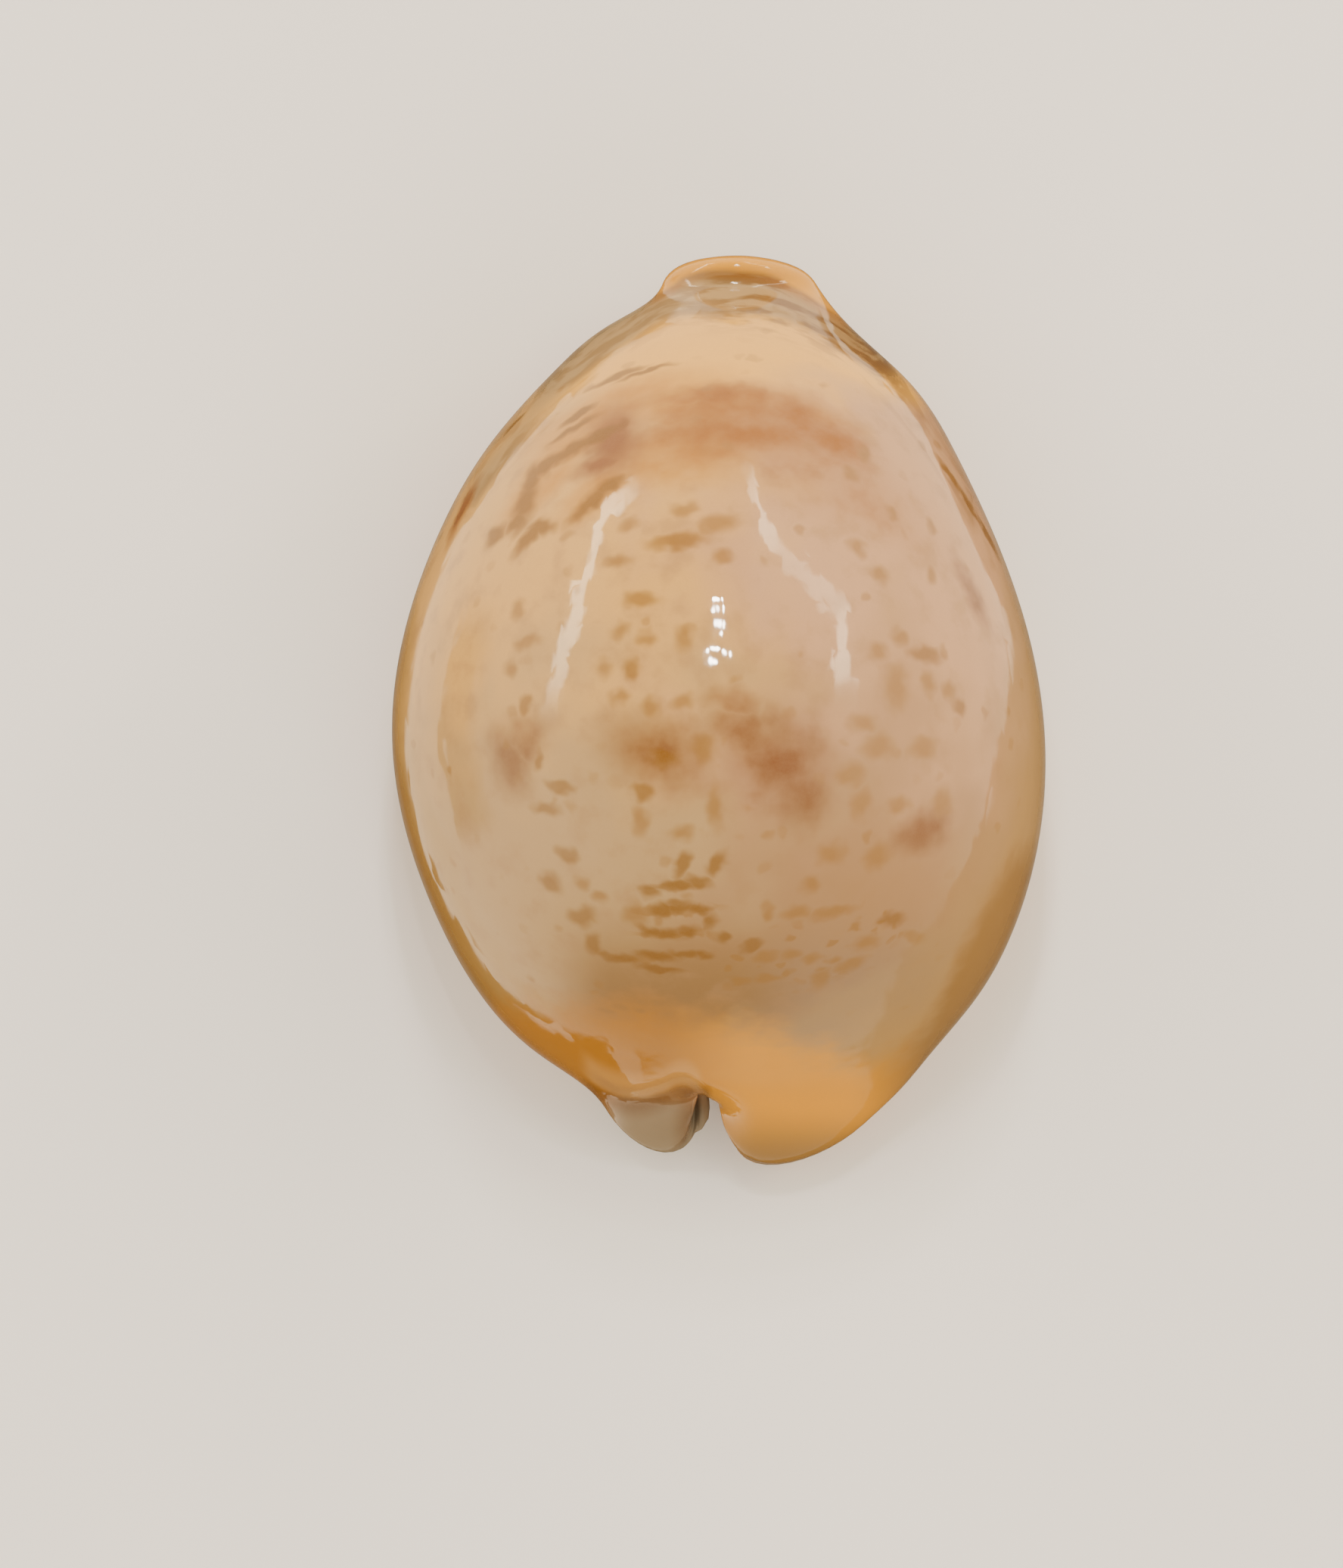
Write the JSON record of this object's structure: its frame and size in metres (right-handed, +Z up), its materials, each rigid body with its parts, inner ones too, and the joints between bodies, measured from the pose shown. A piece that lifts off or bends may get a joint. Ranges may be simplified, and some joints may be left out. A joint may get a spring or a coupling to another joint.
{
  "type": "cowry shell",
  "caption": "Langford's cowry: a glossy domed egg-shaped sea shell with a toothed slit underneath and a small notch at each end, lying on its base.",
  "frame": {"origin": "middle of the shell's plan at the level of the flat spots of the base that it rests on", "axes": "+Z up through the domed back, +Y to the front end, +X to the side of the outer lip"},
  "size_m": [0.0402, 0.056, 0.032],
  "materials": {
    "shell": "gloss"
  },
  "bodies": {
    "root": {"shell": "shell"}
  },
  "joints": []
}
